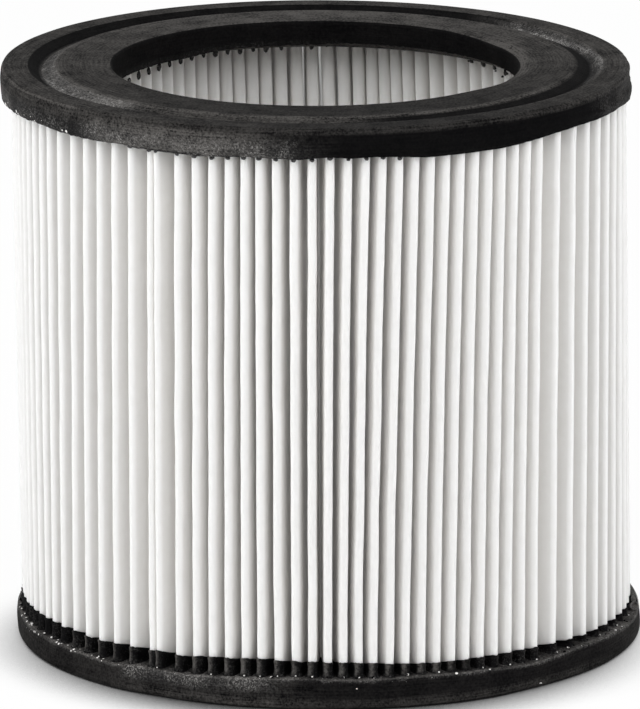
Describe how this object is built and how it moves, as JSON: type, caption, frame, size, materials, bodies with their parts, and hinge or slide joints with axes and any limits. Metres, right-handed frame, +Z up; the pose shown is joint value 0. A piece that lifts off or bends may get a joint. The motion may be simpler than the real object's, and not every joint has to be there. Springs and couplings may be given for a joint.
{
  "type": "pleated cartridge filter",
  "caption": "Ring-shaped pleated fleece cartridge filter for a tub vacuum, open through the middle, with a cast foam sealing cap on each end.",
  "frame": {"origin": "centre of the face it stands on", "axes": "+Z up along the filter's axis, from the standing face to the upper sealing rim; -Y is the side the picture shows"},
  "size_m": [0.186, 0.186, 0.173],
  "materials": {
    "cast_foam": "matt, fine-grained skin",
    "fleece": "matt"
  },
  "bodies": {
    "root": {"top_end_cap": "cast_foam", "pleated_media": "fleece", "bottom_end_cap": "cast_foam"}
  },
  "joints": []
}
